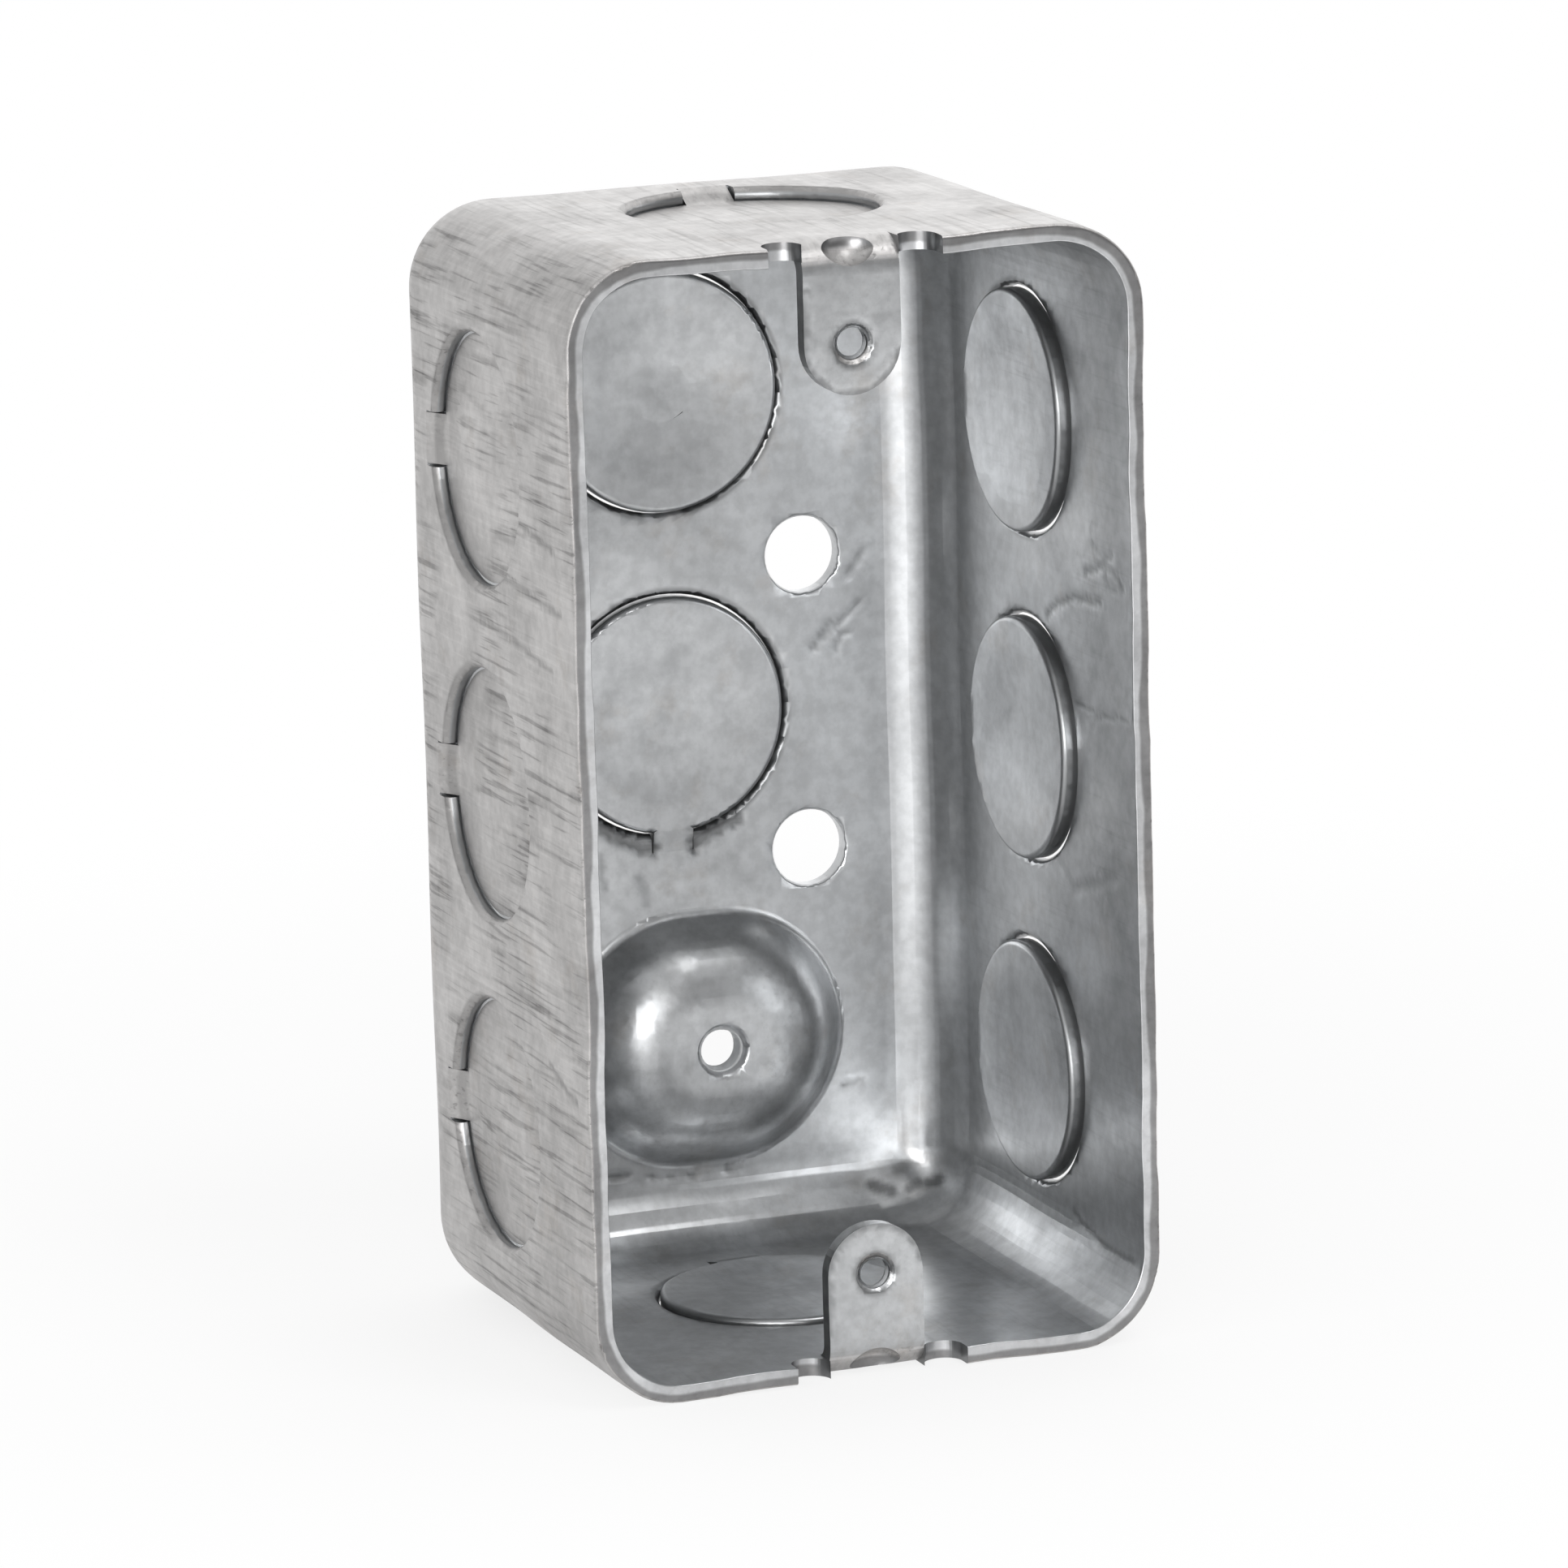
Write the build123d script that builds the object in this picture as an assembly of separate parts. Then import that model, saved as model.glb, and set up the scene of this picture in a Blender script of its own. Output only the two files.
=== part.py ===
from build123d import *
import os
from math import radians, sqrt, tan

# Handy box: a narrow electrical box drawn from one sheet of galvanized steel.
# The origin is at the middle of the lower end, +Z runs up the long side, +X is to the
# right, and the open face looks along -Y. All sizes are in millimetres.

# Sheet and outside of the box
sheet = 1.6
width = 54.0
length = 101.6
depth = 47.6
corner_radius = 8.0
back_bend_radius = 7.6
rim_roll = 0.35
rim_burr = 0.12

# Knockouts: discs sheared almost free, pushed inwards and held by one tie each
knockout_diameter = 22.2
knockout_slit = 0.2
knockout_push = 1.2
lower_end_push = 0.5
back_push = 0.35
knockout_dish = 0.35
knockout_band = 2.4
knockout_roll = 0.5
knockout_lead = 0.45
knockout_pitch = 30.2
knockout_setback = 22.8
back_column_offset = 1.5
side_tie_width = 4.6
side_tie_gap = 0.2
back_tie_width = 3.3
back_tie_gap = 0.7
tie_reach = 1.5

# Rise of the back's holes and knockouts above the middle of the length
back_rise = 0.7

# Mounting holes in the back, beside the knockouts
mounting_hole_diameter = 7.15
mounting_hole_spacing = 27.7
mounting_hole_offset = 12.0
mounting_hole_lead = 0.25

# Ground dome, raised inwards, with an extruded and tapped hole in its crown
dome_offset = 0.8
dome_foot_diameter = 25.0
dome_stretch = 3.6
dome_height = 5.8
dome_flank_angle = 55.0
dome_foot_radius = 1.2
dome_crown_radius = 8.5
dome_skirt = 0.3
dome_gap_above_bend = 0.3
ground_tap_diameter = 4.1
ground_tap_lead = 0.6
ground_collar_wall = 0.9
ground_collar_length = 2.8

# Screw ears, folded inwards from the two end walls
ear_width = 9.0
ear_recess = 1.3
ear_fold_radius = 1.2
ear_screw_spacing = 83.34
ear_tap_diameter = 2.95
ear_tap_lead = 0.4
notch_width = 3.6
notch_depth = 3.2
gusset_length = 5.4
gusset_radius = 2.0
gusset_depth = 1.3
gusset_sheet = 1.1

# Places that follow from the sizes above
front = -depth / 2
back = depth / 2
middle = length / 2
through = 4 * sheet
disc_radius = knockout_diameter / 2
opening_radius = disc_radius + knockout_slit
tie_end = opening_radius + tie_reach
dish_radius = disc_radius - knockout_band


def rounded_block(size_x, size_z, plan_radius, y_start, y_end, bend_radius):
    """Solid block from y_start to y_end with round plan corners and a round back edge."""
    base = Plane(origin=(0, y_end, middle), x_dir=(1, 0, 0), z_dir=(0, -1, 0))
    block = extrude(base * RectangleRounded(size_x, size_z, plan_radius), y_end - y_start)
    return fillet(block.faces().sort_by(Axis.Y)[-1].edges(), bend_radius)


def drawn_shell():
    """Open box of even wall, with a rolled outer rim edge and a slight inner burr."""
    outside = rounded_block(width, length, corner_radius, front, back, back_bend_radius)
    inside = rounded_block(
        width - 2 * sheet,
        length - 2 * sheet,
        corner_radius - sheet,
        front - sheet,
        back - sheet,
        back_bend_radius - sheet,
    )
    shell = outside - inside
    rim = shell.faces().sort_by(Axis.Y)[0]
    shell = fillet(rim.outer_wire().edges(), rim_roll)
    rim = shell.faces().sort_by(Axis.Y)[0]
    return fillet(rim.inner_wires()[0].edges(), rim_burr)


# A punched feature is drawn in its own frame: z = 0 is the face of the sheet that the punch
# meets, and +Z is the way it goes. A knockout's frame has +X at its tie.


def punched_bore(radius, lead):
    """Tool for a punched round hole, whose edge leads in where the punch enters."""
    section = Plane.XZ * Polygon(
        (0, -lead),
        (radius + 2 * lead, -lead),
        (radius, lead),
        (radius, through),
        (0, through),
        align=None,
    )
    return revolve(section, Axis.Z)


def knockout_opening(tie_width, tie_gap):
    """Tool for the round opening, which leads in at both faces, and the slits beside the tie."""
    flare = Cone(opening_radius, opening_radius + 2 * knockout_lead, 2 * knockout_lead)
    slits = Pos(tie_end / 2, 0) * Rectangle(tie_end, tie_width + 2 * tie_gap)
    bore = punched_bore(opening_radius, knockout_lead) + Pos(0, 0, sheet) * flare
    return bore + extrude(slits, through, both=True)


def knockout_disc(tie_width, push):
    """Disc with a shallow dish, pushed in, and the tie that ramps back to the wall."""
    outer = push
    inner = push + sheet
    with BuildSketch(Plane.XZ) as section:
        with BuildLine():
            TangentArc((0, outer - knockout_dish), (dish_radius, outer), tangent=(1, 0))
            Polyline(
                (dish_radius, outer),
                (disc_radius, outer),
                (disc_radius, inner - knockout_roll),
            )
            TangentArc(
                (disc_radius, inner - knockout_roll),
                (disc_radius - knockout_roll, inner),
                tangent=(0, 1),
            )
            Line((disc_radius - knockout_roll, inner), (dish_radius, inner))
            TangentArc((0, inner - knockout_dish), (dish_radius, inner), tangent=(1, 0))
            Line((0, inner - knockout_dish), (0, outer - knockout_dish))
        make_face()
    disc = revolve(section.sketch, Axis.Z)

    ramp_start = disc_radius - knockout_roll
    disc -= Pos(ramp_start + disc_radius / 2, 0, 0) * Box(disc_radius, tie_width, 2 * through)
    ramp = Plane.XZ * Polygon(
        (dish_radius, outer),
        (ramp_start, outer),
        (tie_end, 0),
        (tie_end + sheet, 0),
        (tie_end + sheet, sheet),
        (tie_end, sheet),
        (ramp_start, inner),
        (dish_radius, inner),
        align=None,
    )
    return disc + extrude(ramp, tie_width / 2, both=True)


def knockout_places():
    """Frame, tie width, gap beside the tie and push of each knockout: sides, ends, back."""
    row = back - knockout_setback
    places = []
    for level in (-knockout_pitch, 0, knockout_pitch):
        for side in (-1, 1):
            spot = (side * width / 2, row, middle + level)
            frame = Plane(spot, x_dir=(0, 1, 0), z_dir=(-side, 0, 0))
            places.append((frame, side_tie_width, side_tie_gap, knockout_push))
    for end, push in ((-1, lower_end_push), (1, knockout_push)):
        spot = (0, row, middle + end * length / 2)
        frame = Plane(spot, x_dir=(0, 1, 0), z_dir=(0, 0, -end))
        places.append((frame, side_tie_width, side_tie_gap, push))
    for level, tie in ((0, (0, 0, -1)), (knockout_pitch, (-1, 0, 0))):
        spot = (-back_column_offset, back, middle + back_rise + level)
        frame = Plane(spot, x_dir=tie, z_dir=(0, -1, 0))
        places.append((frame, back_tie_width, back_tie_gap, back_push))
    return places


def dome_section():
    """Half section of the dome, of even wall: crown, flank, foot and a flat skirt."""
    half_turn = tan(radians(dome_flank_angle) / 2)
    foot = dome_foot_diameter / 2 - dome_foot_radius * half_turn
    crown = foot - dome_height / tan(radians(dome_flank_angle))
    inset = sheet * half_turn
    skirt = dome_foot_diameter / 2 + dome_skirt
    inner_radii = [dome_foot_radius + sheet, dome_crown_radius - sheet]
    outline = FilletPolyline(
        (0, dome_height + sheet),
        (crown, dome_height + sheet),
        (foot, sheet),
        (skirt, sheet),
        (skirt, 0),
        (foot - inset, 0),
        (crown - inset, dome_height),
        (0, dome_height),
        radius=[0, dome_crown_radius, dome_foot_radius, 0, 0, *inner_radii, 0],
        close=True,
    )
    return Plane.YZ * make_face(outline)


def ground_dome():
    """Dome with two round ends and a short straight middle, and the tapped collar."""
    section = dome_section()
    end = Pos(-dome_stretch / 2, 0, 0) * revolve(section, Axis.Z, revolution_arc=180)
    half = extrude(section, dome_stretch / 2, both=True)
    dome = end + Rot(0, 0, 180) * end + half + Rot(0, 0, 180) * half
    top = dome_height + sheet
    collar = Pos(0, 0, top - ground_collar_length / 2) * Cylinder(
        ground_tap_diameter / 2 + ground_collar_wall, ground_collar_length
    )
    mouth = Plane((0, 0, top), x_dir=(1, 0, 0), z_dir=(0, 0, -1))
    return dome + collar - mouth * punched_bore(ground_tap_diameter / 2, ground_tap_lead)


def spindle(half_length, radius):
    """Pointed round form along X, the shape that a gusset punch leaves."""
    with BuildSketch(Plane.XZ) as section:
        with BuildLine():
            ThreePointArc((-half_length, 0), (0, radius), (half_length, 0))
            Line((-half_length, 0), (half_length, 0))
        make_face()
    return revolve(section.sketch, Axis.X)


# An ear is drawn at the upper end, and the lower one is its mirror image.


def ear_clearance():
    """Tool that frees the ear: the rim between two round-bottomed relief notches."""
    slot_end = notch_depth - notch_width / 2
    fold_start = ear_recess + ear_fold_radius + sheet
    plan = Plane(origin=(0, front, length), x_dir=(1, 0, 0), z_dir=(0, 0, 1))
    clear = Pos(0, (fold_start - sheet) / 2) * Rectangle(ear_width, fold_start + sheet)
    for side in (-1, 1):
        x = side * (ear_width + notch_width) / 2
        clear += Pos(x, (slot_end - sheet) / 2) * Rectangle(notch_width, slot_end + sheet)
        clear += Pos(x, slot_end) * Circle(notch_width / 2)
    return extrude(plan * clear, 2 * sheet, both=True)


def ear():
    """Fold, gusset, rounded tab and tapped hole of the upper ear."""
    bend = ear_fold_radius + sheet
    face = front + ear_recess
    screw_z = middle + ear_screw_spacing / 2
    axis_y = face + bend
    axis_z = length - bend

    side_view = Plane(origin=(0, axis_y, axis_z), x_dir=(0, 1, 0), z_dir=(1, 0, 0))
    quarter = Pos(-bend / 2, bend / 2) * Rectangle(bend, bend)
    ring = (Circle(bend) - Circle(ear_fold_radius)) & quarter
    fold = extrude(side_view * ring, ear_width / 2, both=True)

    front_view = Plane(origin=(0, face + sheet, screw_z), x_dir=(1, 0, 0), z_dir=(0, -1, 0))
    reach = axis_z - screw_z
    tab = Circle(ear_width / 2) + Pos(0, reach / 2) * Rectangle(ear_width, reach)
    flap = extrude(front_view * tab, sheet)

    diagonal = (bend + gusset_radius - gusset_depth) / sqrt(2)
    centre = Pos(0, axis_y - diagonal, axis_z + diagonal)
    bump = centre * spindle(gusset_length / 2 + gusset_sheet, gusset_radius + gusset_sheet)
    bump &= extrude(side_view * Circle(bend), ear_width / 2, both=True)
    dent = centre * spindle(gusset_length / 2, gusset_radius)

    mouth = Plane((0, face, screw_z), x_dir=(1, 0, 0), z_dir=(0, 1, 0))
    return fold + flap + bump - dent - mouth * punched_bore(ear_tap_diameter / 2, ear_tap_lead)


def box_body():
    """The whole drawn, pierced and folded box as one piece of sheet."""
    body = drawn_shell()

    for frame, tie_width, tie_gap, push in knockout_places():
        body -= frame * knockout_opening(tie_width, tie_gap)
        body += frame * knockout_disc(tie_width, push)

    for end in (-1, 1):
        hole_z = middle + back_rise + end * mounting_hole_spacing / 2
        spot = (mounting_hole_offset, back - sheet, hole_z)
        mouth = Plane(spot, x_dir=(1, 0, 0), z_dir=(0, 1, 0))
        body -= mouth * punched_bore(mounting_hole_diameter / 2, mounting_hole_lead)

    dome_z = back_bend_radius + dome_gap_above_bend + dome_skirt + dome_foot_diameter / 2
    dome_frame = Plane((dome_offset, back, dome_z), x_dir=(1, 0, 0), z_dir=(0, -1, 0))
    skirt_width = dome_foot_diameter + 2 * dome_skirt
    seat = SlotOverall(skirt_width + dome_stretch, skirt_width)
    body -= dome_frame * extrude(seat, through, both=True)
    body += dome_frame * ground_dome()

    flip = Plane(origin=(0, 0, middle), x_dir=(1, 0, 0), z_dir=(0, 0, 1))
    for tool, sign in ((ear_clearance(), -1), (ear(), 1)):
        for copy in (tool, mirror(tool, about=flip)):
            body = body + copy if sign > 0 else body - copy
    return body


os.makedirs("parts", exist_ok=True)
export_step(box_body(), "parts/box_body.step")
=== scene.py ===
from math import cos, pi, radians, sin

import bmesh
import bpy
import numpy as np
from mathutils import Matrix, Vector


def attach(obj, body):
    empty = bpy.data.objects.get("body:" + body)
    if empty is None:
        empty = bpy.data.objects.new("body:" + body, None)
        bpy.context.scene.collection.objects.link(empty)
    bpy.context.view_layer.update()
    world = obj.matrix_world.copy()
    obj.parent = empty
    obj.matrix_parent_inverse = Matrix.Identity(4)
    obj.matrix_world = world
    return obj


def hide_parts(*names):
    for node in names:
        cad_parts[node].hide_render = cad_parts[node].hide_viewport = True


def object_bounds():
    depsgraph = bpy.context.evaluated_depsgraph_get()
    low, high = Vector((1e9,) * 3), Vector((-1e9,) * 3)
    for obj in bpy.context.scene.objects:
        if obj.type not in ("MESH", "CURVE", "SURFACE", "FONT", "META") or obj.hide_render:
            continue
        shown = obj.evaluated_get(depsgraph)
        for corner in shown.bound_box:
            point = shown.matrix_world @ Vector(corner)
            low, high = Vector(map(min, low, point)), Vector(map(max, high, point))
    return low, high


# Handy box: the looks of a drawn galvanized steel box. Metres, in the frame of the model;
# lengths inside the skin and the material are in millimetres.

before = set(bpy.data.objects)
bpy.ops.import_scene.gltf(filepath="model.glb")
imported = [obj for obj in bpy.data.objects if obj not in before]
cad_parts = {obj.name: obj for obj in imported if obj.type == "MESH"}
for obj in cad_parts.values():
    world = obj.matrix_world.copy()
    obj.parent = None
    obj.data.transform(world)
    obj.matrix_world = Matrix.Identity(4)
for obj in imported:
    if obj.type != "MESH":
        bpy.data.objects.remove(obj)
cad_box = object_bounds()

MM = 0.001

# The photograph's view: where the camera stands, in degrees and metres
VIEW_TURN = -20.98
VIEW_PITCH = 12.17
VIEW_ROLL = -1.53
VIEW_DISTANCE = 0.7875
VIEW_ASIDE = 1.09 * MM
VIEW_RISE = -1.61 * MM
FILM_WIDTH = 36.0
FOCAL_LENGTH = 201.43

# The drawn shell, as the model has it, in millimetres
SHEET = 1.6
HALF_WIDTH = 27.0
HALF_DEPTH = 23.8
LENGTH = 101.6
CORNER_RADIUS = 8.0
BACK_BEND_RADIUS = 7.6
FLAT_HALF_WIDTH = HALF_WIDTH - CORNER_RADIUS
FLAT_HALF_LENGTH = LENGTH / 2 - CORNER_RADIUS
BACK_BEND_START = HALF_DEPTH - BACK_BEND_RADIUS

# Depth along the box behind which a point belongs to the back, and before which to the rim
NEAR_BACK = 18
NEAR_RIM = -18

# Depth under a face of the sheet within which a point still belongs to that face
FACE_DEPTH = 0.2

# Lengths shorter than this count as none
NOTHING = 1e-6

# The skin's mesh
MERGE = 0.002
FLAT_ANGLE = 1.0
GRID_STEP = 1.6
SHARP_ANGLE = 58.0
NORMAL_WEIGHT = 60

# Unevenness of the drawn sheet: how high, and how far apart
WALL_WAVE = 0.16
SIDE_WAVELENGTH = 30
END_WAVELENGTH = 24
BACK_WAVE = 0.12
BACK_WAVELENGTH = 26
RIM_WAVE = 0.22
RIM_DENT = 0.14
RIM_DENT_WAVELENGTH = 11
CORNER_LUMP = 0.6
LUMP_WAVELENGTH = 6.5

# Low ridges at the two end bends: how high, how far from the end, and their half width
CREST_HEIGHT = 0.32
CREST_LEVEL = 4.6
CREST_HALF_WIDTH = 2.0
CREST_WAVER = 0.5
CREST_WAVELENGTH = 12

# The back's upper knockout, and how much further its edge stands in; its tie is to the left
UPPER_DISC = (-1.5, 81.7)
UPPER_DISC_RADIUS = 11.15
UPPER_DISH = 0.5
UPPER_TIE_HALF_WIDTH = 1.8
UPPER_TIE_FADE = (-12.7, -10.6)

# The slits beside the middle back knockout's tie, and the share of their width that is closed
TIE_SLITS = (-3.5, 0.5)
SLIT_REACH = 0.37
SLIT_ENDS = (38.6, 40.8)
SLIT_PINCH = 0.8

# Knockouts: middle of the rows, their pitch, and the radius of the band of painted shade round
# each
SIDE_ROW = 1.0
SIDE_LEVEL = 50.8
BACK_COLUMN = -1.5
BACK_LEVEL = 51.5
KNOCKOUT_PITCH = 30.2
SHADE_BAND_RADIUS = 11.4

# Mounting holes in the back
HOLE_COLUMN = 12.0
HOLE_LEVELS = (37.65, 65.35)
HOLE_REACH = 4.2

# Tapped holes: mouth, radius and depth of each, and pitch and depth of the thread
UPPER_SCREW = 92.47
LOWER_SCREW = 9.13
EAR_FACE = -22.5
TAPPED_HOLES = (
    ("upper_ear_thread", (0, EAR_FACE, UPPER_SCREW), 1.475, SHEET),
    ("lower_ear_thread", (0, EAR_FACE, LOWER_SCREW), 1.475, SHEET),
    ("ground_thread", (0.8, 16.9, 20.7), 2.05, 2.4),
)
THREAD_PITCH = 0.794
THREAD_DEPTH = 0.22
THREAD_ROOT = -0.03
THREAD_HALF_WIDTH = 0.42
THREAD_START = 0.4
THREAD_STEPS = 28
THREAD_FADE_STEPS = 6

# Marks narrower than FINE_MARK press the sheet in, and get cells cut into finer slices. Those
# cells reach past the mark by a share of the grid's step.
FINE_MARK = 1.0
FINE_SLICES = 4
FINE_REACH = 0.65
MARK_DEPTH = 0.22
MARK_CORE = 0.3
MARK_WAVER = 0.5
MARK_WAVELENGTH = 1.5
ARC_RUNS = 16

# Planes of the faces that carry marks: the right and left walls along x, the others along y
RIGHT, LEFT = 25.4, -27.0
BACK, DISC, EAR = 22.2, 21.0, EAR_FACE
EAR_EDGE = 4.4
EAR_HOLE_EDGE = 1.85


def arc(plane, x, z, radius, start, end):
    """Points of a round mark, between two angles in degrees from the right towards the top."""
    turns = [radians(start + (end - start) * k / ARC_RUNS) for k in range(ARC_RUNS + 1)]
    return tuple((plane, x + radius * cos(a), z + radius * sin(a)) for a in turns)


# Dark marks on the sheet, scratches and spots and some painted shade: darkness, half width, and
# the points of a line, which begin with the plane. Where that is none of the faces above, the
# points are x, y and z.
MARKS_AND_SHADE = (
    # Outlines of the ears and of their holes: dark lines, partly dirt and partly painted shade
    (0.42, 0.42, ((EAR, -4.4, 97.5),) + arc(EAR, 0.0, UPPER_SCREW, EAR_EDGE, 180, 350)),
    (0.42, 0.42, ((EAR, -4.4, 4.2),) + arc(EAR, 0.0, LOWER_SCREW, EAR_EDGE, 180, 10)),
    (0.40, 0.40, arc(EAR, 0.0, UPPER_SCREW, EAR_HOLE_EDGE, 0, 360)),
    (0.40, 0.40, arc(EAR, 0.0, LOWER_SCREW, EAR_HOLE_EDGE, 0, 360)),
    # Scratches and spots of the right wall
    (0.35, 0.45, ((RIGHT, -15.0, 71.2), (RIGHT, -17.0, 70.2), (RIGHT, -19.2, 70.7))),
    (0.40, 0.45, ((RIGHT, -12.9, 68.3), (RIGHT, -17.5, 69.6), (RIGHT, -20.6, 69.0),
                  (RIGHT, -21.9, 68.0))),
    (0.30, 0.35, ((RIGHT, -17.2, 69.5), (RIGHT, -18.6, 67.6), (RIGHT, -20.4, 67.9))),
    (0.40, 0.50, ((RIGHT, -3.8, 62.7), (RIGHT, -6.2, 64.3), (RIGHT, -10.6, 65.6),
                  (RIGHT, -16.3, 66.0))),
    (0.40, 0.30, ((RIGHT, -10.5, 56.0), (RIGHT, -16.0, 55.8), (RIGHT, -22.5, 56.6))),
    (0.35, 0.50, ((RIGHT, 8.3, 89.6), (RIGHT, 8.0, 89.3))),
    (0.25, 0.45, ((RIGHT, 2.8, 89.4), (RIGHT, 2.6, 89.3))),
    (0.30, 0.50, ((RIGHT, -3.0, 82.6), (RIGHT, -3.5, 80.7))),
    (0.35, 0.55, ((RIGHT, 2.9, 72.5), (RIGHT, 2.6, 72.3))),
    (0.25, 0.45, ((RIGHT, 8.9, 71.8), (RIGHT, 8.5, 72.2))),
    (0.22, 0.80, ((RIGHT, -5.7, 41.1), (RIGHT, -9.3, 38.7), (RIGHT, -14.0, 40.0),
                  (RIGHT, -18.8, 41.4))),
    (0.28, 1.60, ((RIGHT, -16.5, 42.0), (RIGHT, -18.0, 37.0), (RIGHT, -22.5, 35.5))),
    (0.30, 0.70, ((RIGHT, -5.7, 3.9), (RIGHT, -13.0, 3.6), (RIGHT, -21.8, 4.0))),
    (0.25, 0.60, ((RIGHT, -8.0, 8.0), (RIGHT, -15.0, 6.6), (RIGHT, -21.8, 6.8))),
    # A weak strip of painted shade along the right wall, 14 mm wide
    (0.18, 7.00, ((RIGHT, -18.0, 93.0), (RIGHT, -19.0, 60.0), (RIGHT, -20.0, 30.0))),
    # The lower right corner: dark lumps, partly dirt and partly painted shade
    (0.60, 0.98, ((21.4, 17.0, 4.7), (20.9, 18.6, 3.9))),
    (0.50, 0.90, ((20.7, 20.6, 3.9), (20.6, 21.6, 4.4))),
    (0.62, 0.98, ((20.1, 22.6, 4.6), (19.6, 23.4, 5.0))),
    (0.40, 0.98, ((21.6, 19.8, 6.0), (21.0, 22.2, 7.0))),
    # Beside the middle back knockout's tie and in its slits: painted shade; below the tie, two
    # more marks
    (0.60, 0.98, ((BACK, -8.3, 41.7), (BACK, -5.6, 39.9), (BACK, -3.6, 39.0))),
    (0.55, 0.90, ((BACK, 4.9, 41.1), (BACK, 2.2, 40.2), (BACK, 0.7, 39.2))),
    (0.78, 0.70, ((BACK, -3.5, 40.6), (BACK, -3.5, 38.7))),
    (0.78, 0.70, ((BACK, 0.5, 40.6), (BACK, 0.5, 38.7))),
    (0.25, 0.80, ((BACK, -4.7, 36.4), (BACK, -4.2, 34.3))),
    (0.18, 1.10, ((BACK, 1.7, 36.3), (BACK, 4.6, 37.2), (BACK, 6.9, 34.8))),
    # The back's discs and the sheet round them
    (0.50, 0.50, ((DISC, -0.6, 86.6), (DISC, -1.0, 85.5), (DISC, -0.5, 84.9))),
    (0.40, 0.45, ((DISC, -1.6, 83.7), (DISC, -2.0, 83.2))),
    (0.28, 0.45, ((DISC, -2.6, 86.2), (DISC, -3.3, 85.0))),
    (0.30, 0.40, ((DISC, 4.3, 86.4), (DISC, 4.9, 86.4))),
    (0.35, 0.50, ((DISC, 7.5, 87.3), (DISC, 8.0, 86.7))),
    (0.22, 2.20, ((DISC, 5.5, 90.6), (DISC, 7.5, 90.0))),
    (0.28, 0.60, ((DISC, -7.5, 90.6), (DISC, -6.6, 91.2))),
    (0.30, 0.35, ((BACK, 12.7, 56.3), (BACK, 14.6, 58.8), (BACK, 14.0, 57.2),
                  (BACK, 17.7, 60.5))),
    (0.28, 0.35, ((BACK, 15.1, 56.1), (BACK, 15.6, 57.6), (BACK, 16.6, 57.6))),
    (0.22, 0.50, ((BACK, 16.6, 63.0), (BACK, 17.9, 65.0))),
    (0.55, 0.60, ((DISC, -7.5, 46.4), (DISC, -7.5, 45.5))),
    (0.45, 0.40, ((BACK, -9.2, 8.4), (BACK, -6.9, 8.3))),
    (0.35, 0.35, ((BACK, -4.8, 7.9), (BACK, -4.5, 7.9))),
    (0.35, 0.35, ((BACK, -2.9, 7.7), (BACK, -2.6, 7.7))),
    (0.35, 0.35, ((BACK, -0.8, 7.5), (BACK, -0.5, 7.5))),
    (0.40, 0.45, ((BACK, 2.9, 8.0), (BACK, 2.9, 7.6))),
    (0.30, 0.60, ((BACK, 14.8, 14.5), (BACK, 16.5, 15.0))),
    (0.28, 0.55, ((BACK, -8.7, 38.7), (BACK, -8.3, 36.0))),
    (0.20, 1.20, ((BACK, 3.5, 37.0), (BACK, 6.5, 35.0))),
    # Drag marks of the left wall
    (0.40, 0.45, ((LEFT, -2.4, 77.6), (LEFT, -12.0, 76.9), (LEFT, -19.0, 76.0))),
    (0.32, 0.45, ((LEFT, -1.8, 71.7), (LEFT, -10.0, 71.3), (LEFT, -20.5, 70.6))),
    (0.32, 0.40, ((LEFT, 0.9, 66.9), (LEFT, -9.0, 66.2), (LEFT, -18.0, 65.2))),
    (0.25, 0.35, ((LEFT, -3.9, 49.4), (LEFT, -18.5, 48.7))),
    (0.35, 0.45, ((LEFT, -14.0, 29.5), (LEFT, -18.0, 28.0), (LEFT, -21.0, 27.5))),
)

# Colours of the sheet, and what multiplies them in stains, on the part of the sheared rim that
# is burnished, and on the part that is torn
INSIDE_ZINC = (0.575, 0.585, 0.595, 1)
OUTSIDE_ZINC = (0.466, 0.457, 0.452, 1)
STAINED = (0.84, 0.80, 0.76, 1)
BURNISHED = (0.60, 0.585, 0.58, 1)
TORN = (1.30, 1.29, 1.29, 1)
METALLIC = 0.95

# How much darker streaks and hairlines are, how much painted shade darkens the inside of the
# walls, how much sheared edges darken (their burnished metal and painted shade together), how much
# brighter the polished lines are, and how high the bumps are
STREAK = 0.20
HAIRLINE = 0.27
POLISHED = 0.08
PAINTED_WALL_SHADE = 0.12
SHEARED_EDGE_AND_SHADE = 0.55
SHADE_BAND_ON_WALLS = 0.6
GRAIN_BUMP = 0.012
DRAWN_BUMP = 0.03
HAIRLINE_BUMP = 0.01

FLOOR_COLOUR = (0.82, 0.82, 0.82, 1)
FLOOR_SIZE = 6

# Lamps: where they stand, what they aim at, their size and their power
LAMPS = (
    ("key", (-0.60, -1.2, 0.20), (0, 0, 0.05), 0.75, 10),
    ("upper", (0.29, -0.58, 1.15), (0, 0.02, 0.01), 0.4, 3),
)


def ramp(value, low, high):
    """Smooth step from 0 at low to 1 at high."""
    t = np.clip((value - low) / (high - low), 0, 1)
    return t * t * (3 - 2 * t)


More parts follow.
